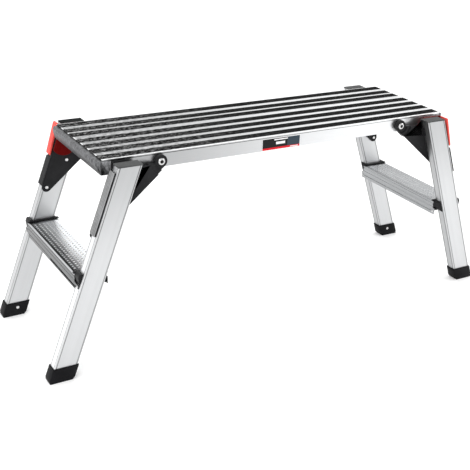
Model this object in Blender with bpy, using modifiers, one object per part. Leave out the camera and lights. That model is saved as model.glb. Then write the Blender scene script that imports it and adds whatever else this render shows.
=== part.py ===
"""Folding aluminium work platform: a ribbed deck on two leg frames that fold flat under it.

Units are metres, +Z up. The origin is on the floor under the middle of the deck, +X runs
along the deck, and -Y is the front.
"""
import math

import bmesh
import bpy
from mathutils import Matrix, Vector

# Deck
DECK_LENGTH = 1.000
DECK_WIDTH = 0.296
DECK_TOP = 0.522
SHEET_THICKNESS = 0.0045
RAIL_BOTTOM = 0.484
RAIL_WIDTH = 0.028
RAIL_END = 0.4795
WALL = 0.002
GAP = 0.0003

# Anti-slip strips, across the deck from the front
STRIP_WIDTH = 0.0268
STRIP_CENTRES = (-0.1285, -0.0847, -0.0428, 0.0, 0.0487, 0.0861, 0.1308)
GROOVE_DEPTH = 0.0015
STRIP_THICKNESS = 0.0016

# Cross braces under the sheet
BRACE_X = 0.200
BRACE_SIZE = (0.030, 0.022)

# End caps: how far the plastic stands past the sheet, and how far it wraps the rails
CAP_BULGE = 0.013
CAP_FOOT_BULGE = 0.0055
CAP_START = 0.480
CAP_LIP_DROP = 0.0038
CAP_WALL = 0.003
CAP_CELLS = 4
CAP_CORNER = 0.010

# Legs: splayed in the X-Z plane only, ends cut parallel to the floor
SPLAY = 0.3451
FOOT_X = 0.6643
LEG_WIDTH = 0.0554
LEG_INNER_Y = 0.168
LEG_OUTER_Y = 0.196
LEG_BOTTOM = 0.0048
LEG_TOP = 0.5135
LEG_RUN = LEG_WIDTH / math.cos(SPLAY)
SLOPE = math.tan(SPLAY)

# Foot and top caps of the legs
FOOT_HEIGHT = 0.038
FOOT_WALL = 0.0025
FOOT_SOLE = 0.0045
FOOT_HEEL_CUT = 0.0030
FOOT_TOE_CUT = (0.0035, 0.0070)
FOOT_RIVET_RISE = 0.006
FOOT_RIVET_SHIFT = 0.0022
TOP_CAP_THICKNESS = 0.0025
PLUG_DEPTH = 0.014

# Hinge: pivot through the rail, and the bracket's plate, boss, strip and rivets.
# A pair (along, inward) is measured up the leg from the floor and in from its outboard face.
PIVOT_X = 0.357
PIVOT_Z = 0.502
HUB_INNER_Y = 0.1485
HUB_OUTER_Y = 0.1595
HUB_RADIUS = 0.0205
SHOULDER_RADIUS = 0.0305
SHOULDER_Y = 0.1630
WEB_RADIUS = 0.0335
ARM_INNER_Y = 0.1640
ARM_RELIEF_Y = 0.1665
BOSS_RADIUS = 0.0158
BOSS_FACE_Y = 0.1608
RIVET_LOW = (0.3765, 0.009)
RIVET_HIGH = (0.4594, 0.039)
PLATE_END_RADIUS = 0.0125
NECK_Z = 0.4997
NECK_END_X = 0.4095
NECK_FILLET = 0.010
STRIP_PROUD = 0.0045
STRIP_OUTER_Y = 0.193
STRIP_TOP = 0.533
STRIP_TOP_LATCH = 0.455
LEDGE_PROUD = 0.0028
BOLT_HEAD_RADIUS = 0.009
BOLT_RADIUS = 0.004
RIVET_HEAD_RADIUS = 0.0042
RIVET_RADIUS = 0.0022
RIVET_LENGTH = 0.008

# Red release latch on two diagonal legs, turning on a pin in the bracket
LATCH_PIN = (0.503, 0.0165)
LATCH_RADIUS = 0.034
LATCH_TOP = 0.5170
LATCH_INNER_Y = 0.1570
LATCH_PLATE_Y = 0.1635
LATCH_EDGE = -0.0045
PAD_INNER_Y = 0.1690
BRIDGE_START = 0.5345
PIN_RADIUS = 0.003
PIN_Y = (0.1580, 0.1670)
SPRING_RECESS_Y = 0.1605
SPRING_Y = (0.1613, 0.1633)
SPRING_RADIUS = 0.006
SPRING_WIRE = 0.0005
SPRING_TURNS = 1.6

# Steps
STEP_X = 0.5425
STEP_WIDTH = 0.080
STEP_TOP = 0.2615
STEP_DROP = 0.039
STEP_WALL = 0.002
STEP_END_Y = 0.1600
SOCKET_START_Y = 0.1465
SOCKET_PLATE_Y = 0.1605
EAR_END_Y = 0.190
EAR_PROUD = 0.0095
EAR_HEIGHT = 0.027
GUSSET_PROUD = 0.0135
GUSSET_HEIGHT = 0.034
GUSSET_FLAT_Y = 0.170

# Label on the front rail
LABEL_X = (-0.075, 0.037)
LABEL_Z = (0.4848, 0.5152)
LABEL_THICKNESS = 0.0004

SIDES = {"left": -1, "right": 1}
FACES = {"front": -1, "back": 1}
LATCH_LEGS = ("back_left", "front_right")


# ---------------------------------------------------------------- scene helpers

def clear_scene():
    for obj in list(bpy.data.objects):
        bpy.data.objects.remove(obj, do_unlink=True)


def new_collection(name):
    collection = bpy.data.collections.new(name)
    bpy.context.scene.collection.children.link(collection)
    return collection


def make_material(name, colour, roughness, metallic=0.0):
    mat = bpy.data.materials.new(name)
    mat.use_nodes = True
    shader = mat.node_tree.nodes["Principled BSDF"]
    shader.inputs["Base Color"].default_value = (*colour, 1.0)
    shader.inputs["Roughness"].default_value = roughness
    shader.inputs["Metallic"].default_value = metallic
    return mat


def finish(obj, part_name, colour, roughness, metallic=0.0, parent=None):
    """Name the piece, give it its material and hang it on its joint's empty."""
    obj.name = part_name
    obj.data.name = part_name
    obj.data.materials.clear()
    obj.data.materials.append(make_material(part_name, colour, roughness, metallic))
    for collection in list(obj.users_collection):
        collection.objects.unlink(obj)
    parts.objects.link(obj)
    if parent is not None:
        obj.parent = parent
        obj.matrix_parent_inverse = parent.matrix_world.inverted()
    return obj


def make_cutter(obj):
    for collection in list(obj.users_collection):
        collection.objects.unlink(obj)
    cutters.objects.link(obj)
    obj.hide_render = True
    obj.display_type = "WIRE"
    return obj


def join_shape(obj, other, operation):
    """Boolean another solid into this one; the other becomes a hidden construction shape."""
    make_cutter(other)
    modifier = obj.modifiers.new(other.name, "BOOLEAN")
    modifier.operation = operation
    modifier.object = other
    return obj


def cut(obj, other):
    return join_shape(obj, other, "DIFFERENCE")


def unite(obj, other):
    return join_shape(obj, other, "UNION")


def round_edges(obj, width, segments=2, angle=40):
    bevel = obj.modifiers.new("rounded edges", "BEVEL")
    bevel.width = width
    bevel.segments = segments
    bevel.limit_method = "ANGLE"
    bevel.angle_limit = math.radians(angle)
    return obj


# ---------------------------------------------------------------- shape helpers

def prism(name, loops, axis, low, high):
    """Solid with a flat outline: loops lie in (x, z) for axis Y, (y, z) for X, (x, y) for Z."""
    curve = bpy.data.curves.new(name, "CURVE")
    curve.dimensions = "2D"
    curve.fill_mode = "BOTH"
    curve.extrude = (high - low) / 2
    for loop in loops:
        spline = curve.splines.new("POLY")
        spline.points.add(len(loop) - 1)
        spline.use_cyclic_u = True
        for point, (first, second) in zip(spline.points, loop):
            point.co = (first, second, 0.0, 1.0)
    middle = (high + low) / 2
    quarter = math.pi / 2
    turn = {"X": (quarter, 0.0, quarter), "Y": (quarter, 0.0, 0.0), "Z": (0.0, 0.0, 0.0)}[axis]
    place = {"X": (middle, 0.0, 0.0), "Y": (0.0, middle, 0.0), "Z": (0.0, 0.0, middle)}[axis]
    flat = bpy.data.objects.new(name, curve)
    flat.rotation_euler = turn
    flat.location = place
    parts.objects.link(flat)
    bpy.context.view_layer.update()
    graph = bpy.context.evaluated_depsgraph_get()
    mesh = bpy.data.meshes.new_from_object(flat.evaluated_get(graph))
    mesh.transform(flat.matrix_world)
    bpy.data.objects.remove(flat, do_unlink=True)
    bm = bmesh.new()
    bm.from_mesh(mesh)
    bmesh.ops.remove_doubles(bm, verts=bm.verts, dist=0.00001)
    bmesh.ops.recalc_face_normals(bm, faces=bm.faces)
    bm.to_mesh(mesh)
    bm.free()
    mesh.materials.clear()
    return link_new(name, mesh)


def link_new(name, mesh):
    obj = bpy.data.objects.new(name, mesh)
    parts.objects.link(obj)
    return obj


def box(name, low, high):
    bm = bmesh.new()
    size = Vector(high) - Vector(low)
    centre = (Vector(high) + Vector(low)) / 2
    bmesh.ops.create_cube(bm, size=1.0, matrix=Matrix.Translation(centre) @ Matrix.Diagonal((*size, 1.0)))
    mesh = bpy.data.meshes.new(name)
    bm.to_mesh(mesh)
    bm.free()
    return link_new(name, mesh)


def rod(name, x, z, radius, y_from, y_to, segments=24):
    """Cylinder along Y."""
    bm = bmesh.new()
    place = Matrix.Translation((x, (y_from + y_to) / 2, z)) @ Matrix.Rotation(math.pi / 2, 4, "X")
    bmesh.ops.create_cone(bm, cap_ends=True, segments=segments, radius1=radius, radius2=radius,
                          depth=abs(y_to - y_from), matrix=place)
    mesh = bpy.data.meshes.new(name)
    bm.to_mesh(mesh)
    bm.free()
    return link_new(name, mesh)


def domed_pin(name, x, z, y_face, outward, head, shank, dome, length, steps=20):
    """Rivet or bolt turned about Y: a domed head outside y_face and a shank behind it."""
    profile = [(head * math.sin(t), dome * math.cos(t)) for t in (0.0, 0.45, 0.9, 1.3)]
    profile += [(head, 0.0), (shank, 0.0), (shank, -length), (0.0, -length)]
    mesh = bpy.data.meshes.new(name)
    edges = [(i, i + 1) for i in range(len(profile) - 1)]
    mesh.from_pydata([(r, 0.0, h) for r, h in profile], edges, [])
    obj = link_new(name, mesh)
    obj.location = (x, y_face, z)
    obj.rotation_euler = (-outward * math.pi / 2, 0.0, 0.0)
    screw = obj.modifiers.new("turned", "SCREW")
    screw.steps = steps
    screw.render_steps = steps
    screw.use_merge_vertices = True
    screw.merge_threshold = 0.00005
    return obj


def arc(x, z, radius, start, end, steps):
    angles = [math.radians(start + (end - start) * i / steps) for i in range(steps + 1)]
    return [(x + radius * math.cos(t), z + radius * math.sin(t)) for t in angles]


def rounded_rectangle(low, high, radius, steps=4):
    (x0, z0), (x1, z1) = low, high
    return (arc(x0 + radius, z0 + radius, radius, 180, 270, steps)
            + arc(x1 - radius, z0 + radius, radius, 270, 360, steps)
            + arc(x1 - radius, z1 - radius, radius, 0, 90, steps)
            + arc(x0 + radius, z1 - radius, radius, 90, 180, steps))


def rectangle(low, high):
    return [(low[0], low[1]), (high[0], low[1]), (high[0], high[1]), (low[0], high[1])]


def on_leg(along, inward):
    """Distance from the middle of the deck, and height, of a point given on a leg."""
    x = FOOT_X - along * math.sin(SPLAY) - inward * math.cos(SPLAY)
    return x, along * math.cos(SPLAY) - inward * math.sin(SPLAY)


def leg_section(z_low, z_high, grow):
    """Slanted outline of a leg between two heights, grown sideways by an amount."""
    outer, inner = FOOT_X + grow, FOOT_X - LEG_RUN - grow
    return [(outer - z_low * SLOPE, z_low), (outer - z_high * SLOPE, z_high),
            (inner - z_high * SLOPE, z_high), (inner - z_low * SLOPE, z_low)]


def on_side(side, outline):
    return [(side * x, z) for x, z in outline]


def span(face, near, far):
    """Low and high Y of a piece between two distances from the middle, front or back."""
    return min(face * near, face * far), max(face * near, face * far)


def plate(name, side, face, outline, near, far):
    low, high = span(face, near, far)
    return prism(name, [on_side(side, outline)], "Y", low, high)


# ---------------------------------------------------------------- deck

ALUMINIUM = (0.80, 0.81, 0.82)
BLACK = (0.025, 0.025, 0.027)
STEEL = (0.62, 0.63, 0.65)


def make_deck_sheet():
    half = DECK_WIDTH / 2
    bottom = DECK_TOP - SHEET_THICKNESS
    floor = DECK_TOP - GROOVE_DEPTH
    top_edge = [(-half, DECK_TOP)]
    for centre in STRIP_CENTRES:
        reach = STRIP_WIDTH / 2 + GAP
        top_edge += [(centre - reach, DECK_TOP), (centre - reach, floor)]
        top_edge += [(centre + reach, floor), (centre + reach, DECK_TOP)]
    top_edge.append((half, DECK_TOP))
    outline = top_edge + [(half, bottom), (-half, bottom)]
    sheet = prism("sheet", [outline], "X", -DECK_LENGTH / 2, DECK_LENGTH / 2)
    finish(sheet, "deck_sheet", ALUMINIUM, 0.35, 1.0)


def make_grip_strips():
    low = DECK_TOP - GROOVE_DEPTH + GAP
    for number, centre in enumerate(STRIP_CENTRES, start=1):
        strip = box("strip", (-DECK_LENGTH / 2 + 0.001, centre - STRIP_WIDTH / 2, low),
                    (DECK_LENGTH / 2 - 0.001, centre + STRIP_WIDTH / 2, low + STRIP_THICKNESS))
        finish(strip, f"grip_strip_{number}", BLACK, 0.9)


def make_rails():
    outer = DECK_WIDTH / 2
    top = DECK_TOP - SHEET_THICKNESS - GAP
    for word, face in FACES.items():
        low, high = span(face, outer - RAIL_WIDTH, outer)
        loops = [rectangle((low, RAIL_BOTTOM), (high, top)),
                 rectangle((low + WALL, RAIL_BOTTOM + WALL), (high - WALL, top - WALL))]
        rail = prism("rail", loops, "X", -RAIL_END, RAIL_END)
        for side in SIDES.values():
            bolt_hole = rod("bolt hole", side * PIVOT_X, PIVOT_Z, BOLT_RADIUS + GAP,
                            face * (outer - 0.010), face * (outer + 0.010))
            cut(rail, bolt_hole)
        finish(rail, f"side_rail_{word}", ALUMINIUM, 0.35, 1.0)


def make_cross_braces():
    reach = DECK_WIDTH / 2 - RAIL_WIDTH - GAP
    length, height = BRACE_SIZE
    top = DECK_TOP - SHEET_THICKNESS - GAP
    for word, side in SIDES.items():
        low, high = side * BRACE_X - length / 2, side * BRACE_X + length / 2
        loops = [rectangle((low, top - height), (high, top)),
                 rectangle((low + WALL, top - height + WALL), (high - WALL, top - WALL))]
        brace = prism("brace", loops, "Y", -reach, reach)
        finish(brace, f"cross_brace_{word}", ALUMINIUM, 0.4, 1.0)


def make_end_caps():
    """Bulging plastic ends, hollow behind in a few cells, rounded at the corners in plan."""
    half = DECK_WIDTH / 2
    end = DECK_LENGTH / 2
    under = DECK_TOP - SHEET_THICKNESS - GAP
    lip = DECK_TOP - CAP_LIP_DROP
    for word, side in SIDES.items():
        outline = [(CAP_START, RAIL_BOTTOM + 0.001), (CAP_START, under), (end + GAP, under),
                   (end + GAP, lip), (end + 0.008, lip), (end + CAP_BULGE - 0.001, lip - 0.004),
                   (end + CAP_BULGE, lip - 0.008), (end + CAP_BULGE, 0.508),
                   (end + CAP_FOOT_BULGE, 0.4875), (end + 0.003, RAIL_BOTTOM + 0.0005),
                   (end, RAIL_BOTTOM), (CAP_START + 0.001, RAIL_BOTTOM)]
        cap = prism("end cap", [on_side(side, outline)], "Y", -half, half)
        plan = ([(CAP_START - 0.01, -half), (end + CAP_BULGE - CAP_CORNER, -half)]
                + arc(end + CAP_BULGE - CAP_CORNER, -half + CAP_CORNER, CAP_CORNER, -80, 0, 5)
                + arc(end + CAP_BULGE - CAP_CORNER, half - CAP_CORNER, CAP_CORNER, 0, 80, 5)
                + [(end + CAP_BULGE - CAP_CORNER, half), (CAP_START - 0.01, half)])
        join_shape(cap, prism("plan", [on_side(side, plan)], "Z", 0.45, 0.55), "INTERSECT")
        cell = (DECK_WIDTH - CAP_WALL) / CAP_CELLS
        for index in range(CAP_CELLS):
            start = -half + CAP_WALL + index * cell
            near, far = sorted((side * (CAP_START - 0.01), side * (end + 0.001)))
            hollow = box("cell", (near, start, RAIL_BOTTOM + CAP_WALL),
                         (far, start + cell - CAP_WALL, under - CAP_WALL))
            cut(cap, hollow)
        finish(cap, f"end_cap_{word}", (0.075, 0.078, 0.082), 0.55)


def make_label():
    face = -DECK_WIDTH / 2 - GAP
    label = box("label", (LABEL_X[0], face - LABEL_THICKNESS, LABEL_Z[0]), (LABEL_X[1], face, LABEL_Z[1]))
    finish(label, "label_plate", (0.05, 0.055, 0.06), 0.4)


# ---------------------------------------------------------------- legs

def make_leg(name, side, face, frame):
    low, high = span(face, LEG_INNER_Y, LEG_OUTER_Y)
    leg = plate("leg", side, face, leg_section(LEG_BOTTOM, LEG_TOP, 0.0), LEG_INNER_Y, LEG_OUTER_Y)
    bore = leg_section(LEG_BOTTOM - 0.01, LEG_TOP + 0.01, -WALL)
    cut(leg, prism("bore", [on_side(side, bore)], "Y", low + WALL, high - WALL))
    for place in (RIVET_LOW, RIVET_HIGH, foot_rivet_place()):
        x, z = on_leg(*place)
        hole = rod("rivet hole", side * x, z, RIVET_RADIUS + GAP,
                   face * (LEG_INNER_Y - 0.005), face * (LEG_INNER_Y + 0.006), 16)
        cut(leg, hole)
    finish(leg, f"leg_{name}", ALUMINIUM, 0.35, 1.0, frame)


def foot_rivet_place():
    """A little above and inboard of the foot cap's middle."""
    inward = LEG_WIDTH / 2 + FOOT_RIVET_SHIFT
    along = (FOOT_HEIGHT / 2 + LEG_WIDTH / 2 * math.sin(SPLAY)) / math.cos(SPLAY)
    return along + FOOT_RIVET_RISE, inward


def foot_outline():
    """Foot cap in side view, with its lower corners cut off."""
    outer, inner = FOOT_X + FOOT_WALL, FOOT_X - LEG_RUN - FOOT_WALL
    toe_x, toe_z = FOOT_TOE_CUT
    heel_x = outer - FOOT_HEEL_CUT
    return [(heel_x, 0.0), (heel_x, FOOT_HEEL_CUT / SLOPE),
            (outer - FOOT_HEIGHT * SLOPE, FOOT_HEIGHT), (inner - FOOT_HEIGHT * SLOPE, FOOT_HEIGHT),
            (inner - toe_z * SLOPE, toe_z), (inner + toe_x, 0.0)]


def make_foot(name, side, face, frame):
    foot = plate("foot", side, face, foot_outline(),
                 LEG_INNER_Y - FOOT_WALL, LEG_OUTER_Y + FOOT_WALL)
    round_edges(foot, 0.0018)
    cut(foot, plate("socket", side, face, leg_section(FOOT_SOLE, FOOT_HEIGHT + 0.01, GAP),
                    LEG_INNER_Y - GAP, LEG_OUTER_Y + GAP))
    x, z = on_leg(*foot_rivet_place())
    wall_face = LEG_INNER_Y - FOOT_WALL
    cut(foot, rod("rivet hole", side * x, z, RIVET_RADIUS + GAP,
                  face * (wall_face - 0.003), face * (LEG_INNER_Y + 0.001), 16))
    finish(foot, f"foot_cap_{name}", BLACK, 0.6, 0.0, frame)
    rivet = domed_pin("rivet", side * x, z, face * (wall_face - GAP), -face, RIVET_HEAD_RADIUS,
                      RIVET_RADIUS, 0.0016, FOOT_WALL + WALL + 0.002, 16)
    finish(rivet, f"foot_rivet_{name}", STEEL, 0.3, 1.0, frame)


def make_top_cap(name, side, face, frame):
    low, high = span(face, ARM_INNER_Y, LEG_OUTER_Y + 0.0006)
    lid_outline = leg_section(LEG_TOP + GAP, LEG_TOP + GAP + TOP_CAP_THICKNESS, 0.0006)
    lid = prism("lid", [on_side(side, lid_outline)], "Y", low, high)
    inset = -WALL - 0.0004
    plug = plate("plug", side, face, leg_section(LEG_TOP - PLUG_DEPTH, LEG_TOP + 0.0015, inset),
                 LEG_INNER_Y + WALL + 0.0004, LEG_OUTER_Y - WALL - 0.0004)
    unite(lid, plug)
    finish(lid, f"leg_top_cap_{name}", (0.045, 0.047, 0.05), 0.6, 0.0, frame)


# ---------------------------------------------------------------- hinge brackets

def bracket_outline(strip_top):
    """Triangular plate from the pivot to the lower rivet, with the leg's outboard edge."""
    end_x, end_z = on_leg(*RIVET_LOW)
    reach = math.dist((end_x, end_z), (PIVOT_X, PIVOT_Z))
    heading = math.atan2(PIVOT_Z - end_z, PIVOT_X - end_x)
    spread = math.asin((BOSS_RADIUS - PLATE_END_RADIUS) / reach)
    tangent = math.degrees(heading) + 90 - math.degrees(spread)
    neck = math.degrees(math.asin((NECK_Z - PIVOT_Z) / BOSS_RADIUS))
    top_inner = FOOT_X - LEG_RUN - LEG_TOP * SLOPE
    outboard = math.degrees(SPLAY)
    outline = arc(end_x, end_z, PLATE_END_RADIUS, outboard, tangent - 360, 10)
    outline += arc(PIVOT_X, PIVOT_Z, BOSS_RADIUS, tangent, neck, 16)
    outline += arc(NECK_END_X, NECK_Z + NECK_FILLET, NECK_FILLET, -90, 0, 4)
    outline += [(top_inner, LEG_TOP), (FOOT_X - LEG_TOP * SLOPE, LEG_TOP)]
    outline += [on_leg(strip_top, 0.0), on_leg(strip_top, -STRIP_PROUD)]
    return outline


def around_pivot(radius):
    """Everything in the side view except a disc about the pivot."""
    frame = rectangle((PIVOT_X - 0.1, PIVOT_Z - 0.25), (PIVOT_X + 0.25, PIVOT_Z + 0.1))
    return [frame, arc(PIVOT_X, PIVOT_Z, radius, 0, 354, 59)]


def make_bracket(name, side, face, frame):
    """Hub beside the rail, stepped out to an arm that lies on the leg and wraps its edge."""
    has_latch = name in LATCH_LEGS
    spacer_y = LEG_INNER_Y - GAP
    bracket = plate("bracket", side, face, bracket_outline(STRIP_TOP), HUB_INNER_Y, spacer_y)
    near, far = span(face, 0.14, ARM_INNER_Y)
    loops = [on_side(side, loop) for loop in around_pivot(WEB_RADIUS)]
    cut(bracket, prism("behind the arm", loops, "Y", near, far))

    beside_leg = [on_leg(0.20, LEG_WIDTH + GAP), on_leg(0.66, LEG_WIDTH + GAP),
                  on_leg(0.66, LEG_WIDTH + 0.15), on_leg(0.20, LEG_WIDTH + 0.15)]
    cut(bracket, plate("relief", side, face, beside_leg, ARM_RELIEF_Y, spacer_y + 0.01))
    x, z = side * PIVOT_X, PIVOT_Z
    for radius, y in ((SHOULDER_RADIUS, SHOULDER_Y), (HUB_RADIUS, HUB_OUTER_Y)):
        cut(bracket, rod("step", x, z, radius, face * y, face * 0.18, 60))

    strip_start, strip_end = RIVET_LOW[0] + 0.0012, STRIP_TOP - 0.0008
    if has_latch:
        strip_end = STRIP_TOP_LATCH
        ledge = [on_leg(strip_end - 0.002, -GAP), on_leg(STRIP_TOP - 0.0008, -GAP),
                 on_leg(STRIP_TOP - 0.0008, -LEDGE_PROUD), on_leg(strip_end - 0.002, -LEDGE_PROUD)]
        unite(bracket, plate("ledge", side, face, ledge, spacer_y - 0.002, STRIP_OUTER_Y - 0.001))
    strip_face = STRIP_PROUD + 0.0004
    strip = [on_leg(strip_start, -GAP), on_leg(strip_end, -GAP),
             on_leg(strip_end, -strip_face), on_leg(strip_start, -strip_face)]
    unite(bracket, plate("strip", side, face, strip, spacer_y - 0.003, STRIP_OUTER_Y))
    tab = [on_leg(0.518, LEG_WIDTH + 0.0007), on_leg(0.542, LEG_WIDTH + 0.0007),
           on_leg(0.540, LEG_WIDTH + 0.004), on_leg(0.520, LEG_WIDTH + 0.004)]
    unite(bracket, plate("tab", side, face, tab, ARM_RELIEF_Y - 0.002, 0.176))

    unite(bracket, rod("boss", x, z, BOSS_RADIUS - 0.0008, face * (HUB_OUTER_Y - 0.003),
                       face * BOSS_FACE_Y, 32))
    cut(bracket, rod("recess", x, z, BOLT_HEAD_RADIUS + 0.0008, face * (HUB_OUTER_Y - 0.0007),
                     face * (BOSS_FACE_Y + 0.01), 28))
    cut(bracket, rod("pivot hole", x, z, BOLT_RADIUS + GAP, face * 0.14, face * 0.17))
    for place in (RIVET_LOW, RIVET_HIGH):
        rx, rz = on_leg(*place)
        cut(bracket, rod("rivet hole", side * rx, rz, RIVET_RADIUS + GAP, face * 0.14, face * 0.175, 16))
    if has_latch:
        px, pz = on_leg(*LATCH_PIN)
        cut(bracket, rod("pin hole", side * px, pz, PIN_RADIUS + GAP, face * 0.15,
                         face * (PIN_Y[1] + GAP), 20))
    finish(bracket, f"hinge_bracket_{name}", BLACK, 0.6, 0.0, frame)

    for word, place in (("lower", RIVET_LOW), ("upper", RIVET_HIGH)):
        rx, rz = on_leg(*place)
        rivet = domed_pin("rivet", side * rx, rz, face * (ARM_INNER_Y - GAP), -face,
                          RIVET_HEAD_RADIUS, RIVET_RADIUS, 0.0018, RIVET_LENGTH, 16)
        finish(rivet, f"bracket_rivet_{word}_{name}", STEEL, 0.3, 1.0, frame)

    bolt = domed_pin("bolt", x, z, face * (HUB_OUTER_Y - 0.0004), face, BOLT_HEAD_RADIUS,
                     BOLT_RADIUS, 0.0038, 0.022, 28)
    finish(bolt, f"pivot_bolt_{name}", STEEL, 0.25, 1.0)


# ---------------------------------------------------------------- latches

def at_latch_top(inward):
    """Point on the latch's level top edge, this far in from the leg's outboard face."""
    return on_leg((LATCH_TOP + inward * math.sin(SPLAY)) / math.cos(SPLAY), inward)


def latch_plate_outline():
    """Disc about the pin, cut off along the bracket's edge, under a level top."""
    along, inward = LATCH_PIN
    last = -180 + math.degrees(math.acos((inward - LATCH_EDGE) / LATCH_RADIUS))
    steps = 14
    outline = []
    for index in range(steps + 1):
        turn = math.radians(last * index / steps)
        outline.append(on_leg(along + LATCH_RADIUS * math.sin(turn),
                              inward + LATCH_RADIUS * math.cos(turn)))
    outline += [on_leg(BRIDGE_START, LATCH_EDGE), on_leg(BRIDGE_START, -0.0125)]
    outline += [at_latch_top(-0.0120), at_latch_top(0.0410)]
    return outline


def latch_pad_outline(start):
    """Thumb pad, close to the leg at its foot and standing off it at the top."""
    top = [at_latch_top(-0.0130), at_latch_top(-0.0095)]
    if start:
        return [on_leg(start, -0.0138)] + top + [on_leg(start, -0.0092)]
    outer = [on_leg(0.4640, -0.0088), on_leg(0.5400, -0.0140)]
    foot = [on_leg(0.4640, -0.0042), on_leg(0.4612, -0.0048), on_leg(0.4600, -0.0062),
            on_leg(0.4612, -0.0080)]
    return outer + top + foot


def make_latch(name, side, face, latch_joint, frame):
    x, z = on_leg(*LATCH_PIN)
    latch = plate("latch", side, face, latch_plate_outline(), LATCH_INNER_Y, LATCH_PLATE_Y)
    unite(latch, plate("bridge", side, face, latch_pad_outline(BRIDGE_START + 0.001),
                       LATCH_INNER_Y + 0.001, PAD_INNER_Y + 0.002))
    unite(latch, plate("pad", side, face, latch_pad_outline(None), PAD_INNER_Y, STRIP_OUTER_Y))
    cut(latch, rod("pin hole", side * x, z, PIN_RADIUS + GAP, face * (PIN_Y[0] - GAP),
                   face * 0.17, 20))
    cut(latch, rod("spring recess", side * x, z, SPRING_RADIUS + 0.0022, face * SPRING_RECESS_Y,
                   face * 0.168, 24))
    finish(latch, f"latch_{name}", (0.62, 0.02, 0.03), 0.45, 0.0, latch_joint)

    pin = rod("pin", side * x, z, PIN_RADIUS, face * PIN_Y[0], face * PIN_Y[1], 20)
    finish(pin, f"latch_pin_{name}", STEEL, 0.3, 1.0, frame)

    coil = bpy.data.curves.new("coil", "CURVE")
    coil.dimensions = "3D"
    coil.bevel_depth = SPRING_WIRE
    coil.bevel_resolution = 2
    coil.use_fill_caps = True
    count = round(SPRING_TURNS * 12)
    spline = coil.splines.new("POLY")
    spline.points.add(count)
    start, end = SPRING_Y
    for index, point in enumerate(spline.points):
        turn = 2 * math.pi * index / 12
        depth = start + (end - start) * index / count
        point.co = (side * x + SPRING_RADIUS * math.cos(turn), face * depth,
                    z + SPRING_RADIUS * math.sin(turn), 1.0)
    spring = bpy.data.objects.new("coil", coil)
    parts.objects.link(spring)
    finish(spring, f"latch_spring_{name}", STEEL, 0.35, 1.0, frame)


# ---------------------------------------------------------------- steps

def make_step(word, side, frame):
    """Inverted channel between the two legs of a frame."""
    half = STEP_WIDTH / 2
    low = STEP_TOP - STEP_DROP
    outline = [(STEP_X - half, low), (STEP_X - half, STEP_TOP), (STEP_X + half, STEP_TOP),
               (STEP_X + half, low), (STEP_X + half - STEP_WALL, low),
               (STEP_X + half - STEP_WALL, STEP_TOP - STEP_WALL),
               (STEP_X - half + STEP_WALL, STEP_TOP - STEP_WALL), (STEP_X - half + STEP_WALL, low)]
    tread = prism("tread", [on_side(side, outline)], "Y", -STEP_END_Y, STEP_END_Y)
    finish(tread, f"step_tread_{word}", ALUMINIUM, 0.4, 1.0, frame)


def ear_outline():
    """Ear on the leg's outboard face: full depth at the step's top, tapering down."""
    top = (STEP_TOP + 0.005) / math.cos(SPLAY)
    return [on_leg(top, -GAP), on_leg(top - 0.001, -EAR_PROUD * 0.8), on_leg(top - 0.005, -EAR_PROUD),
            on_leg(top - 0.012, -EAR_PROUD), on_leg(top - EAR_HEIGHT, -0.0015),
            on_leg(top - EAR_HEIGHT - 0.001, -GAP)]


def gusset_outline():
    """Gusset on the leg's inboard face, a blunt triangle in side view."""
    start = LEG_WIDTH
    top = (STEP_TOP + 0.005 + start * math.sin(SPLAY)) / math.cos(SPLAY)
    return [on_leg(top, start + GAP), on_leg(top - 0.003, start + GUSSET_PROUD * 0.6),
            on_leg(top - 0.010, start + GUSSET_PROUD), on_leg(top - 0.015, start + GUSSET_PROUD),
            on_leg(top - GUSSET_HEIGHT, start + 0.0015), on_leg(top - GUSSET_HEIGHT - 0.001, start + GAP)]


def leg_prism(name, side, face, plan, low, high):
    """Solid that runs up a leg's slope, its plan measured inward and across."""
    solid = prism(name, [[(-side * inward, face * y) for inward, y in plan]], "Z", low, high)
    place = Matrix.Translation((side * FOOT_X, 0.0, 0.0)) @ Matrix.Rotation(-side * SPLAY, 4, "Y")
    solid.data.transform(place)
    return solid


def make_step_bracket(name, side, face, frame):
    """Socket on the tread's end: a rim between tread and leg, a plug in the channel, two ears."""
    half = STEP_WIDTH / 2
    low = STEP_TOP - STEP_DROP
    end_y = LEG_INNER_Y - GAP
    rim = rounded_rectangle((STEP_X - half - 0.002, low - 0.001),
                            (STEP_X + half + 0.002, STEP_TOP + 0.004), 0.003)
    bracket = plate("step bracket", side, face, rim, SOCKET_PLATE_Y, end_y)
    inside = half - STEP_WALL - GAP
    plug = rectangle((STEP_X - inside, low), (STEP_X + inside, STEP_TOP - STEP_WALL - GAP))
    unite(bracket, plate("plug", side, face, plug, SOCKET_START_Y, SOCKET_PLATE_Y + 0.002))
    unite(bracket, plate("ear", side, face, ear_outline(), SOCKET_PLATE_Y + 0.003, EAR_END_Y))

    gusset = plate("gusset", side, face, gusset_outline(), SOCKET_PLATE_Y + 0.003, EAR_END_Y)
    beyond = LEG_WIDTH + GUSSET_PROUD
    slope = [(beyond + 0.0005, GUSSET_FLAT_Y), (LEG_WIDTH + 0.0010, EAR_END_Y + 0.0012),
             (beyond + 0.05, EAR_END_Y + 0.0012), (beyond + 0.05, GUSSET_FLAT_Y)]
    cut(gusset, leg_prism("gusset slope", side, face, slope, 0.15, 0.40))
    unite(bracket, gusset)
    finish(bracket, f"step_bracket_{name}", BLACK, 0.6, 0.0, frame)


# ---------------------------------------------------------------- assembly

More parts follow.
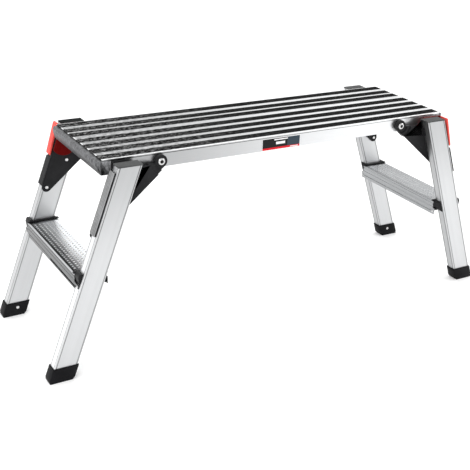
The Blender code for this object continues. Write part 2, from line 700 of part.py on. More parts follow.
def joint_empty(name, x, y, z, parent=None):
    empty = bpy.data.objects.new(name, None)
    empty.empty_display_size = 0.02
    empty.location = (x, y, z)
    parts.objects.link(empty)
    bpy.context.view_layer.update()
    if parent is not None:
        empty.parent = parent
        empty.matrix_parent_inverse = parent.matrix_world.inverted()
        bpy.context.view_layer.update()
    return empty


clear_scene()
parts = new_collection("work platform")
cutters = new_collection("cutting shapes")

make_deck_sheet()
make_grip_strips()
make_rails()
make_cross_braces()
make_end_caps()
make_label()

for side_word, side_sign in SIDES.items():
    frame_joint = joint_empty(f"fold axis {side_word}", side_sign * PIVOT_X, 0.0, PIVOT_Z)
    make_step(side_word, side_sign, frame_joint)
    for face_word, face_sign in FACES.items():
        leg_name = f"{face_word}_{side_word}"
        make_leg(leg_name, side_sign, face_sign, frame_joint)
        make_foot(leg_name, side_sign, face_sign, frame_joint)
        make_top_cap(leg_name, side_sign, face_sign, frame_joint)
        make_bracket(leg_name, side_sign, face_sign, frame_joint)
        make_step_bracket(leg_name, side_sign, face_sign, frame_joint)
        if leg_name in LATCH_LEGS:
            pin_x, pin_z = on_leg(*LATCH_PIN)
            latch_axis = joint_empty(f"latch axis {leg_name}", side_sign * pin_x,
                                     face_sign * LATCH_INNER_Y, pin_z, frame_joint)
            make_latch(leg_name, side_sign, face_sign, latch_axis, frame_joint)
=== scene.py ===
import math

import bpy
from mathutils import Matrix, Vector


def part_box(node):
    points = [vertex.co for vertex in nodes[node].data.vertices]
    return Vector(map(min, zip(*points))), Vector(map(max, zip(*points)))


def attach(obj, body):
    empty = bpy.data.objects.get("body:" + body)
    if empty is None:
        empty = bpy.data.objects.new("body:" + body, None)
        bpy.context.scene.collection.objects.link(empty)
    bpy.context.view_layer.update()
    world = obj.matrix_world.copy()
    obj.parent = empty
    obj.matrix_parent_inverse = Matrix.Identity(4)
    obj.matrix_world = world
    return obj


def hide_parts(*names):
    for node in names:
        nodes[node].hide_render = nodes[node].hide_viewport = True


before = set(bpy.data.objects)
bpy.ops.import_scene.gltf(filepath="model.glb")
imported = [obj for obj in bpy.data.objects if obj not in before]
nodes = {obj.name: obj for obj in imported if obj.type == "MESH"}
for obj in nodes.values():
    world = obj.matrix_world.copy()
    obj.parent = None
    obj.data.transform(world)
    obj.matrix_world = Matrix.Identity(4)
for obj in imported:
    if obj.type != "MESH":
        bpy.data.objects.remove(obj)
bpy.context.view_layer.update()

deckLow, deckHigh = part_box("deck_sheet")
legLow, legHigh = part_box("leg_front_left")
stepLow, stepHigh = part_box("step_tread_left")

past = 0.01                                     # how far a cutter reaches past what it cuts
mergeWithin = 0.00001
flatWithin = math.radians(0.6)
atWithin = 0.0002                               # how near an edge lies to the place it is picked by
fineRound = 0.0002                              # breaks the edges of sheet metal and thin strips


# selecting and shaping, as by hand

def pick(*objects):
    bpy.ops.object.select_all(action="DESELECT")
    for obj in objects:
        obj.select_set(True)
    bpy.context.view_layer.objects.active = objects[0]


def nameNew(name):
    obj = bpy.context.active_object
    obj.name = name
    obj.data.name = name
    bpy.ops.object.transform_apply(location=True, rotation=True, scale=True)
    return obj


def addBlock(name, low, high):
    bpy.ops.object.select_all(action="DESELECT")
    middle = (Vector(low) + Vector(high)) / 2
    bpy.ops.mesh.primitive_cube_add(size=1, location=middle, scale=Vector(high) - Vector(low))
    return nameNew(name)


def addRod(name, middle, radius, length, axis, sides):
    bpy.ops.object.select_all(action="DESELECT")
    turn = {"X": (0, math.pi / 2, 0), "Y": (math.pi / 2, 0, 0)}[axis]
    bpy.ops.mesh.primitive_cylinder_add(vertices=sides, radius=radius, depth=length,
                                        location=middle, rotation=turn)
    return nameNew(name)


def span(side, near, far):
    # the two ends of a stretch in rising order, on either side of the middle
    return sorted((side * near, side * far))


def applyAll(obj):
    pick(obj)
    for modifier in list(obj.modifiers):
        bpy.ops.object.modifier_apply(modifier=modifier.name)


def carve(obj, tool, how="DIFFERENCE"):
    modifier = obj.modifiers.new("shape", "BOOLEAN")
    modifier.operation = how
    modifier.object = tool
    applyAll(obj)
    bpy.data.objects.remove(tool, do_unlink=True)
    return obj


def editMesh(obj):
    pick(obj)
    bpy.ops.object.mode_set(mode="EDIT")


def leaveMesh():
    bpy.ops.object.mode_set(mode="OBJECT")


def selectParts(obj, parts, kind, test):
    for group in (obj.data.vertices, obj.data.edges, obj.data.polygons):
        for part in group:
            part.select = False
    for part in parts:
        part.select = bool(test(part))
    editMesh(obj)
    bpy.ops.mesh.select_mode(type=kind)


def selectFaces(obj, test):
    selectParts(obj, obj.data.polygons, "FACE", lambda face: test(face.center, face.normal))


def selectEdges(obj, test):
    corners = obj.data.vertices
    selectParts(obj, obj.data.edges, "EDGE", lambda edge: test(*(corners[i].co for i in edge.vertices)))


def copyPart(node, name):
    # a merged copy of a frame part, ready for finer work
    pick(nodes[node])
    bpy.ops.object.duplicate()
    piece = bpy.context.active_object
    piece.name = name
    piece.parent = None
    piece.matrix_world = Matrix.Identity(4)
    for key in list(piece.keys()):
        del piece[key]
    bpy.ops.mesh.customdata_custom_splitnormals_clear()
    editMesh(piece)
    bpy.ops.mesh.select_all(action="SELECT")
    bpy.ops.mesh.remove_doubles(threshold=mergeWithin)
    bpy.ops.mesh.dissolve_limited(angle_limit=flatWithin)
    leaveMesh()
    return piece


def roundEdges(obj, width, segments=2, angle=38):
    pick(obj)
    bpy.ops.object.shade_smooth_by_angle(angle=math.radians(angle))
    bevel = obj.modifiers.new("edges", "BEVEL")
    bevel.width = width
    bevel.segments = segments
    bevel.limit_method = "ANGLE"
    bevel.angle_limit = math.radians(angle)
    bevel.use_clamp_overlap = False
    bevel.harden_normals = True
    applyAll(obj)
    return obj


def turnedCopy(obj, name):
    # half a turn about the middle of the deck puts a left piece on the right
    pick(obj)
    bpy.ops.object.duplicate()
    twin = bpy.context.active_object
    twin.name = name
    twin.data.name = name
    twin.matrix_world = Matrix.Rotation(math.pi, 4, "Z")
    bpy.ops.object.transform_apply(location=True, rotation=True, scale=True)
    return twin


def dress(piece, finish, body, slotName, *replaced):
    piece.data.materials.clear()
    piece.data.materials.append(finish)
    if replaced:
        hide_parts(*replaced)
    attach(piece, body)
    return piece


leftSigns = {"front": -1, "back": 1}
opposite = {"front": "back", "back": "front"}


def dressPair(piece, finish, slotName, node, face):
    # a left frame's piece, and its copy half a turn round on the right frame
    partner = opposite[face]
    twin = turnedCopy(piece, piece.name.replace(face.title() + "Left", partner.title() + "Right"))
    dress(piece, finish, "left_leg_frame", slotName, f"{node}_{face}_left")
    dress(twin, finish, "right_leg_frame", slotName, f"{node}_{partner}_right")


# sums in a material's nodes

class Wire:
    def __init__(self, tree, socket=None):
        self.tree = tree
        self.socket = socket

    def add(self, kind, settings=None, inputs=None, output=0):
        made = self.tree.nodes.new(kind)
        for key, value in (settings or {}).items():
            setattr(made, key, value)
        for key, value in (inputs or {}).items():
            if isinstance(value, Wire):
                self.tree.links.new(value.socket, made.inputs[key])
            else:
                made.inputs[key].default_value = value
        return Wire(self.tree, made.outputs[output])

    def sum(self, operation, first, second):
        return self.add("ShaderNodeMath", {"operation": operation}, {0: first, 1: second})

    def __add__(self, other):
        return self.sum("ADD", self, other)

    def __sub__(self, other):
        return self.sum("SUBTRACT", self, other)

    def __rsub__(self, other):
        return self.sum("SUBTRACT", other, self)

    def __mul__(self, other):
        return self.sum("MULTIPLY", self, other)

    def __gt__(self, other):
        return self.sum("GREATER_THAN", self, other)

    def __lt__(self, other):
        return self.sum("LESS_THAN", self, other)

    __radd__ = __add__
    __rmul__ = __mul__

    def near(self, value, reach):
        return self.add("ShaderNodeMath", {"operation": "COMPARE"}, {0: self, 1: value, 2: reach})

    def soft(self, low, high):
        return self.add("ShaderNodeMapRange", {"interpolation_type": "SMOOTHSTEP"},
                        {"Value": self, "From Min": low, "From Max": high})

    def axis(self, letter):
        return self.add("ShaderNodeSeparateXYZ", {}, {0: self}, letter)

    def folded(self):
        # the same value on both sides of the middle
        return self.add("ShaderNodeVectorMath", {"operation": "ABSOLUTE"}, {0: self})

    def stretched(self, scale, turn=(0, 0, 0)):
        return self.add("ShaderNodeMapping", {}, {"Vector": self, "Scale": scale, "Rotation": turn})

    def noise(self, scale, detail=2.0, rough=0.5):
        settings = {"Vector": self, "Scale": scale, "Detail": detail, "Roughness": rough}
        return self.add("ShaderNodeTexNoise", {}, settings)

    def times(self, amount):
        # a colour made brighter or darker
        return self.add("ShaderNodeVectorMath", {"operation": "SCALE"}, {0: self, 3: amount})

    def mix(self, factor, first, second):
        return self.add("ShaderNodeMix", {"data_type": "RGBA"}, {0: factor, 6: first, 7: second}, 2)


def newFinish(name, rough, metal=0.0, **fixed):
    material = bpy.data.materials.new(name)
    material.use_nodes = True
    shader = material.node_tree.nodes["Principled BSDF"]
    shader.inputs["Roughness"].default_value = rough
    shader.inputs["Metallic"].default_value = metal
    for key, value in fixed.items():
        shader.inputs[key.replace("_", " ")].default_value = value
    wire = Wire(material.node_tree)
    place = wire.add("ShaderNodeTexCoord", {}, {}, "Object")
    return material, shader, wire, place


def plug(shader, wire, colour, rough=None, height=None, strength=0.2, distance=0.0005):
    links = wire.tree.links
    links.new(colour.socket, shader.inputs["Base Color"])
    if rough is not None:
        links.new(rough.socket, shader.inputs["Roughness"])
    if height is not None:
        bump = wire.add("ShaderNodeBump", {}, {"Height": height, "Strength": strength, "Distance": distance})
        links.new(bump.socket, shader.inputs["Normal"])


def grey(value, tint=0.0):
    return (value * (1 - tint), value, value * (1 + tint), 1)


# aluminium drawn through a die: fine lines run the way the section was pushed
splay = 0.3451
aluminiumLook = {"lines": 1100, "along": 5, "broad": 0.06, "cloud": 11.0, "scuff": 70.0,
                 "lineRough": 0.16, "cloudRough": 0.12, "scuffRough": 0.20, "bump": 0.08, "depth": 0.0003}


def drawnAluminium(name, direction, bright, dull, rough, tone=None, tint=0.012):
    material, shader, wire, place = newFinish(name, rough, 1.0)
    look = aluminiumLook
    across, along = look["lines"], look["along"]
    if direction == "leg":
        upright = place.folded().stretched((1, 1, 1), (0, splay, 0))
        drawn = upright.stretched((across, across, along))
    else:
        scale = {"X": (along, across, across), "Y": (across, along, across)}[direction]
        drawn = place.stretched(scale)
    lines = drawn.noise(1.0, 3.0, 0.6)
    broad = drawn.stretched((look["broad"],) * 3).noise(1.0)
    cloud = place.noise(look["cloud"], 4.0, 0.6)
    scuff = place.noise(look["scuff"], 6.0, 0.75).soft(0.62, 0.78)
    shade = (lines * 0.35 + cloud * 0.3 + broad * 0.3).soft(0.2, 0.8)
    colour = wire.mix(shade, grey(dull, tint), grey(bright, tint))
    if tone:
        colour = colour.times(tone(place))
    roughness = rough + (lines - 0.5) * look["lineRough"] + (cloud - 0.5) * look["cloudRough"]
    roughness = roughness + scuff * look["scuffRough"]
    plug(shader, wire, colour, roughness, lines + broad * 0.4, look["bump"], look["depth"])
    return material


# the darkest and lightest shades are parts of the plastic's own colour, and streaks vary more
plasticLook = {"cloud": 14.0, "dust": 160.0, "plain": (0.68, 1.40), "streaked": (0.28, 2.1), "lift": 0.003,
               "dusty": 0.15, "cloudRough": 0.18, "dustRough": 0.08, "depth": 0.0002}


def mouldedPlastic(name, colour, rough, grain=2600, bump=0.25, streaks=None, shine=0.12, tone=None):
    material, shader, wire, place = newFinish(name, rough, Specular_IOR_Level=shine)
    look = plasticLook
    leather = wire.add("ShaderNodeTexVoronoi", {"feature": "SMOOTH_F1"},
                       {"Vector": place, "Scale": grain, "Smoothness": 0.6}, "Distance")
    fine = place.noise(grain * 0.7, 3.0)
    cloud = place.noise(look["cloud"], 5.0, 0.6)
    dust = place.noise(look["dust"], 4.0, 0.7).soft(0.55, 0.85)
    shade = cloud * 0.6 + fine * 0.4
    darkest, lightest = look["streaked"] if streaks else look["plain"]
    if streaks:
        shade = shade * 0.3 + place.stretched(streaks).noise(1.0, 4.0, 0.7) * 0.7
    low = tuple(c * darkest for c in colour) + (1,)
    high = tuple(min(c * lightest + look["lift"], 1) for c in colour) + (1,)
    pale = tuple(c * 0.7 + 0.05 for c in colour) + (1,)
    paint = wire.mix(shade.soft(0.32, 0.68), low, high)
    paint = wire.mix(dust * look["dusty"], paint, pale)
    if tone:
        paint = tone(place, paint)
    roughness = rough + (cloud - 0.5) * look["cloudRough"] + dust * look["dustRough"]
    plug(shader, wire, paint, roughness, leather * 0.7 + fine * 0.5, bump, look["depth"])
    return material


def platedSteel(name, bright, rough, socketShade=None):
    # socketShade is painted shade in the well of a bolt head: its middle in x and z, its radius and where in
    # y it ends
    material, shader, wire, place = newFinish(name, rough, 1.0)
    cloud = place.noise(220.0, 4.0, 0.6)
    fine = place.noise(2400.0)
    paint = wire.mix(cloud.soft(0.3, 0.75), grey(bright * 0.72), grey(bright))
    if socketShade:
        x, z, radius, depth = socketShade
        folded = place.folded()
        away = wire.add("ShaderNodeVectorMath", {"operation": "DISTANCE"},
                        {0: folded.stretched((1, 0, 1)), 1: (x, 0, z)}, "Value")
        inside = (away < radius) * (folded.axis("Y") < depth)
        # painted shade in the bolt's socket
        paint = wire.mix(inside, paint, grey(0.02))
    plug(shader, wire, paint, rough + (cloud - 0.5) * 0.22, fine + cloud, 0.12, 0.0002)
    return material


blackPlastic = mouldedPlastic("blackPlastic", (0.011, 0.011, 0.012), 0.42)
boltLow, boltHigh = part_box("pivot_bolt_back_right")
boltMiddle = (boltLow + boltHigh) / 2
boltSteel = platedSteel("boltSteel", 0.70, 0.24, (boltMiddle.x, boltMiddle.z, 0.0062, boltHigh.y - 0.0005))
rivetSteel = platedSteel("rivetSteel", 0.80, 0.28)
print("shared finishes mixed")


# deck: sheet, strips, rails, braces, end caps

deckShape = {"longRound": 0.0009, "endRound": 0.0008, "railRound": 0.0014, "braceRound": 0.0008,
             "sideGap": 0.0007, "overEnd": 0.0002, "tabGap": 0.0001, "tab": 0.0011, "tabDrop": 0.0036,
             "ribs": 5, "ribGap": 0.0016, "ribHeight": 0.0009, "ribRound": 0.0003,
             "capRound": 0.0005, "capGroove": 0.0016, "capGrooveDepth": 0.0011, "capGrooveX": 0.5040}
# painted light: the deck and rails are painted darker towards the left end as shade, with painted highlights
# along the sheet's top edges and painted shade where the sheet meets the rails; the speckle on the top and
# the grit's pale grains and streaks are strongest at the left end
deckLightAndMarks = {"start": -0.5, "end": 0.34, "dull": 0.47, "speckle": 2.2, "speckleScale": (95, 260, 260),
            "gritEnd": 0.0, "gritFade": 0.9, "skin": 0.0012, "edge": 0.75, "edgeReach": 0.0014,
            "joint": 0.55, "jointReach": 0.0007}
gritLook = {"grit": 1500.0, "cells": 420.0, "bare": 0.82, "streaks": (80, 190, 190),
            "streakGrey": 0.21, "grainGrey": 0.40}
# painted light: the moulding is painted paler where it wraps the rails and darker low on the bulge, as shade
capPaintedLight = {"wrap": 1.3, "wrapSkin": 0.0006, "lowest": 0.034, "highest": 0.008, "rise": 0.85, "base": 0.40}


def leftEndRamp(place):
    # strongest at the left end, a tenth of it from the middle on
    return 1.0 - place.axis("X").soft(deckLightAndMarks["start"], deckLightAndMarks["gritEnd"]) * deckLightAndMarks["gritFade"]


def paintDeckLightAndMarks(place):
    folded, reach = place.folded(), deckLightAndMarks["edgeReach"]
    # painted shade: darker towards the left end
    paintedShadeRamp = place.axis("X").soft(deckLightAndMarks["start"], deckLightAndMarks["end"])
    speckle = place.stretched(deckLightAndMarks["speckleScale"]).noise(1.0, 4.0, 0.7) - 0.5
    onTop = place.axis("Z") > deckHigh.z - deckLightAndMarks["skin"]
    rough = speckle * leftEndRamp(place) * onTop * deckLightAndMarks["speckle"]
    atSide = folded.axis("Y") > deckHigh.y - reach
    # painted highlight along the top edges of the sheet's ends and sides
    edge = ((folded.axis("X") > deckHigh.x - reach) + atSide) * onTop * deckLightAndMarks["edge"]
    # painted shade along the bottom of the sheet's sides, where it meets the rails
    joint = place.axis("Z").near(deckLow.z, deckLightAndMarks["jointReach"]) * atSide
    return paintedShadeRamp * (1.0 - deckLightAndMarks["dull"]) + deckLightAndMarks["dull"] + rough + edge - joint * deckLightAndMarks["joint"]


def gritRubber(name):
    # black mineral grit, with more pale grains and grey streaks towards the left end
    material, shader, wire, place = newFinish(name, 0.85, Specular_IOR_Level=0.06)
    look = gritLook
    grit = place.noise(look["grit"], 5.0, 0.8)
    cells = wire.add("ShaderNodeTexVoronoi", {}, {"Vector": place, "Scale": look["cells"]}, "Color")
    spread = wire.add("ShaderNodeTexVoronoi", {}, {"Vector": place, "Scale": look["cells"]}, "Distance")
    chosen = wire.add("ShaderNodeSeparateColor", {}, {0: cells})
    grain = (chosen > look["bare"]) * (1 - spread.soft(0.15, 0.60))
    leftRamp = leftEndRamp(place)
    streak = place.stretched(look["streaks"]).noise(1.0, 4.0, 0.7).soft(0.50, 0.60)
    paint = wire.mix(grit.soft(0.35, 0.7), grey(0.003), grey(0.012))
    paint = wire.mix(streak * leftRamp * 0.9, paint, grey(look["streakGrey"]))
    paint = wire.mix(grain * leftRamp * 0.6, paint, grey(look["grainGrey"]))
    plug(shader, wire, paint, 0.9 - grain * 0.35, grit + spread * 0.8, 0.7, 0.0006)
    return material


def paintCapLight(place, paint):
    # painted highlight where the moulding wraps the rails
    wrap = (place.folded().axis("Y") > deckHigh.y - capPaintedLight["wrapSkin"]) * capPaintedLight["wrap"]
    # painted shade low on the bulge
    bulge = place.axis("Z").soft(deckHigh.z - capPaintedLight["lowest"], deckHigh.z - capPaintedLight["highest"])
    return paint.times(wrap + bulge * capPaintedLight["rise"] + capPaintedLight["base"])


deckMetal = drawnAluminium("deckMetal", "X", 0.80, 0.72, 0.34, paintDeckLightAndMarks)
braceMetal = drawnAluminium("braceMetal", "Y", 0.62, 0.52, 0.36)
gritStrip = gritRubber("gritStrip")
endPlastic = mouldedPlastic("endPlastic", (0.078, 0.079, 0.082), 0.40, 2200, 0.3, (110, 210, 70),
                            0.14, paintCapLight)


def makeSheet():
    sheet = copyPart("deck_sheet", "deckSheet")

    def longEdge(first, second):
        onSide = min(abs(abs(first.y) - deckHigh.y), abs(abs(second.y) - deckHigh.y)) < atWithin
        return abs(first.x - second.x) > 0.5 and onSide

    def endEdge(first, second):
        atEnd = min(abs(first.x), abs(second.x)) > deckHigh.x - atWithin / 2
        return atEnd and min(first.z, second.z) > deckHigh.z - atWithin / 2
    for test, width, segments in ((longEdge, deckShape["longRound"], 3), (endEdge, deckShape["endRound"], 2)):
        selectEdges(sheet, test)
        bpy.ops.mesh.bevel(offset=width, segments=segments, affect="EDGES")
        leaveMesh()
    roundEdges(sheet, fineRound, 1, 50)
    dress(sheet, deckMetal, "deck", "deck_aluminium", "deck_sheet")


def makeStrip(number):
    low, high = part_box(f"grip_strip_{number}")
    floor = high.z - deckShape["ribHeight"]
    left, right = deckLow.x - deckShape["overEnd"], deckHigh.x + deckShape["overEnd"]
    front, back = low.y + deckShape["sideGap"], high.y - deckShape["sideGap"]
    strip = addBlock(f"gripStrip{number}", (left, front, low.z), (right, back, floor))
    ribs, gap = deckShape["ribs"], deckShape["ribGap"]
    pitch = (back - front + gap) / ribs
    editMesh(strip)
    for index in range(1, ribs):
        start = front + index * pitch - gap
        for y in (start, start + gap):
            bpy.ops.mesh.select_all(action="SELECT")
            bpy.ops.mesh.bisect(plane_co=(0, y, 0), plane_no=(0, 1, 0))
    leaveMesh()

    def onRib(centre, normal):
        return normal.z > 0.9 and (centre.y - front) % pitch < pitch - gap
    selectFaces(strip, onRib)
    bpy.ops.mesh.extrude_region_move(TRANSFORM_OT_translate={"value": (0, 0, deckShape["ribHeight"])})
    leaveMesh()
    for side in (-1, 1):
        # the strip is folded down over the end of the sheet
        near, far = span(side, deckHigh.x + deckShape["tabGap"], deckHigh.x + deckShape["tab"])
        tab = addBlock("tab", (near, front, high.z - deckShape["tabDrop"]), (far, back, floor))
        carve(strip, tab, "UNION")
    roundEdges(strip, deckShape["ribRound"], 2)
    dress(strip, gritStrip, "deck", "anti_slip_strip", f"grip_strip_{number}")


def makeRail(face):
    rail = copyPart(f"side_rail_{face}", f"sideRail{face.title()}")
    roundEdges(rail, deckShape["railRound"], 4)
    dress(rail, deckMetal, "deck", "deck_aluminium", f"side_rail_{face}")


def makeBrace(end):
    brace = copyPart(f"cross_brace_{end}", f"crossBrace{end.title()}")
    roundEdges(brace, deckShape["braceRound"], 3)
    dress(brace, braceMetal, "deck", "deck_aluminium", f"cross_brace_{end}")


def makeEndCap(end):
    # a groove runs down each side where the moulding turns round the corner
    cap = copyPart(f"end_cap_{end}", f"endCap{end.title()}")
    low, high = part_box(f"end_cap_{end}")
    middle = deckShape["capGrooveX"] * (-1 if end == "left" else 1)
    half, depth = deckShape["capGroove"] / 2, deckShape["capGrooveDepth"]
    for y in (low.y, high.y):
        carve(cap, addBlock("groove", (middle - half, y - depth, low.z - past),
                            (middle + half, y + depth, high.z + past)))
    roundEdges(cap, deckShape["capRound"], 2, 30)
    dress(cap, endPlastic, "deck", "end_cap_plastic", f"end_cap_{end}")


makeSheet()
for number in range(1, 8):
    makeStrip(number)
for face in ("front", "back"):
    makeRail(face)
for end in ("left", "right"):
    makeBrace(end)
    makeEndCap(end)
print("deck made")


# legs, worked out up the leg (along) and in from its outboard face (inward)

legShape = {"width": 0.0554, "wall": 0.0022, "cornerRound": 0.0022, "lineInset": 0.0042, "lineWidth": 0.0018,
            "lineDepth": 0.0010, "start": -0.05, "stop": 0.62, "footRound": 0.0005, "lidRound": 0.0006}
# painted shade in the grooves by the corners and towards the top end, a painted highlight on the front legs'
# outboard faces and painted shade on the right legs' inboard faces
legPaintedLight = {"line": 0.50, "reach": 0.0010, "skin": 0.0005, "frontFaceHighlight": 0.42, "rightEdge": 0.16,
           "top": 0.22, "topFrom": 0.28, "topTo": 0.52}
slope = math.tan(splay)
footX = -legLow.x + legLow.z * slope
legPlace = Matrix.Translation((-footX, 0, 0)) @ Matrix.Rotation(splay, 4, "Y")
legInner, legOuter = -legHigh.y, -legLow.y


def paintLegLight(place):
    folded, width = place.folded(), legShape["width"]
    inward = (footX - folded.axis("X") - folded.axis("Z") * slope) * math.cos(splay)
    across = folded.axis("Y")
    inset, reach = legShape["lineInset"], legPaintedLight["reach"]
    # painted shade in the grooves
    lines = inward.near(inset, reach) + inward.near(width - inset, reach)
    lines = lines + across.near(legInner + inset, reach) + across.near(legOuter - inset, reach)
    # painted highlight on the front legs' outboard faces and painted shade on the right legs' inboard faces
    frontFaceHighlight = (inward < legPaintedLight["skin"]) * (place.axis("Y") < 0) * legPaintedLight["frontFaceHighlight"]
    rightEdge = (inward > width - legPaintedLight["skin"]) * (place.axis("X") > 0) * legPaintedLight["rightEdge"]
    tone = 1.0 - lines * (1 - legPaintedLight["line"]) + frontFaceHighlight - rightEdge
    # painted shade towards the top end
    return tone - folded.axis("Z").soft(legPaintedLight["topFrom"], legPaintedLight["topTo"]) * legPaintedLight["top"]


legMetal = drawnAluminium("legMetal", "leg", 0.64, 0.56, 0.40, paintLegLight)
footPlastic = mouldedPlastic("footPlastic", (0.007, 0.007, 0.008), 0.50, 1800, 0.35, shine=0.06)
topPlastic = mouldedPlastic("topPlastic", (0.068, 0.070, 0.070), 0.50, shine=0.04)
# painted shade: a darker, less shiny copy of the lid plastic, for the back left lid
newLidPlastic = mouldedPlastic("newLidPlastic", (0.016, 0.017, 0.017), 0.62, shine=0.02)
newLidPlastic.node_tree.nodes["Principled BSDF"].inputs["IOR"].default_value = 1.12


def putOnLeg(obj):
    pick(obj)
    obj.matrix_world = legPlace @ obj.matrix_world
    bpy.ops.object.transform_apply(location=True, rotation=True, scale=True)
    return obj


def trimLeg(leg):
    # cut level at foot and top, then each open rim is bridged between the outside and the hollow
    editMesh(leg)
    for height, cutLow in ((legLow.z, True), (legHigh.z, False)):
        bpy.ops.mesh.select_all(action="SELECT")
        bpy.ops.mesh.bisect(plane_co=(0, 0, height), plane_no=(0, 0, 1), use_fill=False,
                            clear_inner=cutLow, clear_outer=not cutLow)
        bpy.ops.mesh.select_all(action="DESELECT")
    leaveMesh()
    for height in (legLow.z, legHigh.z):
        selectEdges(leg, lambda first, second: abs(first.z - height) + abs(second.z - height) < mergeWithin)
        bpy.ops.mesh.bridge_edge_loops()
        leaveMesh()


def makeLeg(face, sign):
    width, wall = legShape["width"], legShape["wall"]
    start, stop = legShape["start"], legShape["stop"]
    near, far = span(sign, legInner, legOuter)
    leg = addBlock(f"leg{face.title()}Left", (0, near, start), (width, far, stop))
    selectEdges(leg, lambda first, second: abs(first.z - second.z) > 0.1)
    bpy.ops.mesh.bevel(offset=legShape["cornerRound"], segments=4, affect="EDGES")
    leaveMesh()
    start, stop = start - past, stop + past
    inset, half, depth = legShape["lineInset"], legShape["lineWidth"] / 2, legShape["lineDepth"]
    for middle in (inset, width - inset):
        for y, out in ((legInner, -1), (legOuter, 1)):
            near, far = span(sign, y - out * depth, y + out * past)
            carve(leg, addBlock("line", (middle - half, near, start), (middle + half, far, stop)))
    for x, out in ((0, -1), (width, 1)):
        near, far = span(1, x - out * depth, x + out * past)
        for y in (legInner + inset, legOuter - inset):
            carve(leg, addBlock("line", (near, sign * y - half, start), (far, sign * y + half, stop)))
    near, far = span(sign, legInner + wall, legOuter - wall)
    carve(leg, addBlock("hollow", (wall, near, start), (width - wall, far, stop)))
    putOnLeg(leg)
    trimLeg(leg)
    pick(leg)
    bpy.ops.object.shade_smooth_by_angle(angle=math.radians(40))
    return leg


def makeFoot(face):
    foot = copyPart(f"foot_cap_{face}_left", f"footCap{face.title()}Left")
    return roundEdges(foot, legShape["footRound"], 2, 30)


def makeLid(face):
    lid = copyPart(f"leg_top_cap_{face}_left", f"legTopCap{face.title()}Left")
    return roundEdges(lid, legShape["lidRound"], 3, 30)


# thick and shank are parts of a head's radius, dome and socketDeep of its thickness
headShape = {"thick": 0.36, "shank": 0.45, "dome": 0.8, "socketDeep": 1.1, "rivetHole": 0.0021,
             "boltSocket": 0.0050}


def makeHead(name, node, outward, hole):
    # low domed head with a small socket, its shank as long as the frame's own fastener
    low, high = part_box(node)
    x, z = (low.x + high.x) / 2, (low.z + high.z) / 2
    radius, length = (high.x - low.x) / 2, high.y - low.y
    thick = radius * headShape["thick"]
    face = high.y if outward > 0 else low.y
    head = addRod(name, (x, face - outward * thick / 2, z), radius, thick, "Y", 40)
    selectFaces(head, lambda centre, normal: normal.y * outward > 0.9)
    bpy.ops.mesh.bevel(offset=thick * headShape["dome"], segments=5, affect="EDGES")
    leaveMesh()
    carve(head, addRod("socket", (x, face, z), hole, thick * headShape["socketDeep"], "Y", 6))
    carve(head, addRod("shank", (x, face - outward * (length + thick / 2) / 2, z),
                       radius * headShape["shank"], length - thick / 2, "Y", 24), "UNION")
    roundEdges(head, fineRound / 2, 1, 40)
    return head


legRivets = {"foot_rivet": "footRivet", "bracket_rivet_lower": "bracketRivetLower",
             "bracket_rivet_upper": "bracketRivetUpper"}

for face, sign in leftSigns.items():
    dressPair(makeLeg(face, sign), legMetal, "leg_aluminium", "leg", face)
    dressPair(makeFoot(face), footPlastic, "foot_plastic", "foot_cap", face)
    lid = makeLid(face)
    dressPair(lid, topPlastic, "top_cap_plastic", "leg_top_cap", face)
    if face == "back":
        # painted shade: the back left lid takes the darker copy of the lid plastic
        lid.data.materials[0] = newLidPlastic   # the back left lid is darker than the others
    for node, name in legRivets.items():
        head = makeHead(name + face.title() + "Left", f"{node}_{face}_left", -sign, headShape["rivetHole"])
        dressPair(head, rivetSteel, "rivet_steel", node, face)
print("legs made")


# hinge brackets and pivot bolts

bracketShape = {"round": 0.0006, "stripAlong": {"front": (0.3772, 0.5325), "back": (0.3772, 0.4548)},
                "stripProud": 0.0052, "stripThick": 0.0012, "stripReach": 0.1932, "stripRibs": 4,
                "stripGap": 0.0012, "stripGapDeep": 0.0006}
greyPlastic = mouldedPlastic("greyPlastic", (0.235, 0.237, 0.240), 0.40, 2200, 0.2)


def makeBracket(face):
    bracket = copyPart(f"hinge_bracket_{face}_left", f"hingeBracket{face.title()}Left")
    return roundEdges(bracket, bracketShape["round"], 2, 30)


def makeBolt(face, sign):
    # the bolts stay with the deck when a frame folds
    partner = opposite[face]
    bolt = makeHead(f"pivotBolt{face.title()}Left", f"pivot_bolt_{face}_left", sign, headShape["boltSocket"])
    twin = turnedCopy(bolt, f"pivotBolt{partner.title()}Right")
    dress(bolt, boltSteel, "deck", "bolt_steel", f"pivot_bolt_{face}_left")
    dress(twin, boltSteel, "deck", "bolt_steel", f"pivot_bolt_{partner}_right")


def makeEdgeStrip(face, sign, finish):
    # ribbed cover on the outboard edge of a bracket
    low, high = bracketShape["stripAlong"][face]
    outside, reach = -bracketShape["stripProud"], bracketShape["stripReach"]
    near, far = span(sign, legInner, reach)
    strip = addBlock(f"edgeStrip{face.title()}Left", (outside, near, low),
                     (outside + bracketShape["stripThick"], far, high))
    count, half = bracketShape["stripRibs"], bracketShape["stripGap"] / 2
    pitch = (reach - legInner) / count
    for index in range(1, count):
        middle = sign * (legInner + index * pitch)
        carve(strip, addBlock("line", (outside - past, middle - half, low - past),
                              (outside + bracketShape["stripGapDeep"], middle + half, high + past)))
    putOnLeg(strip)
    roundEdges(strip, fineRound, 2, 30)
    twin = turnedCopy(strip, f"edgeStrip{opposite[face].title()}Right")
    dress(strip, finish, "left_leg_frame", "bracket_plastic")
    dress(twin, finish, "right_leg_frame", "bracket_plastic")


for face, sign in leftSigns.items():
    dressPair(makeBracket(face), blackPlastic, "bracket_plastic", "hinge_bracket", face)
    makeBolt(face, sign)
for face, finish in (("front", greyPlastic), ("back", blackPlastic)):
    makeEdgeStrip(face, leftSigns[face], finish)
print("brackets made")


# latches

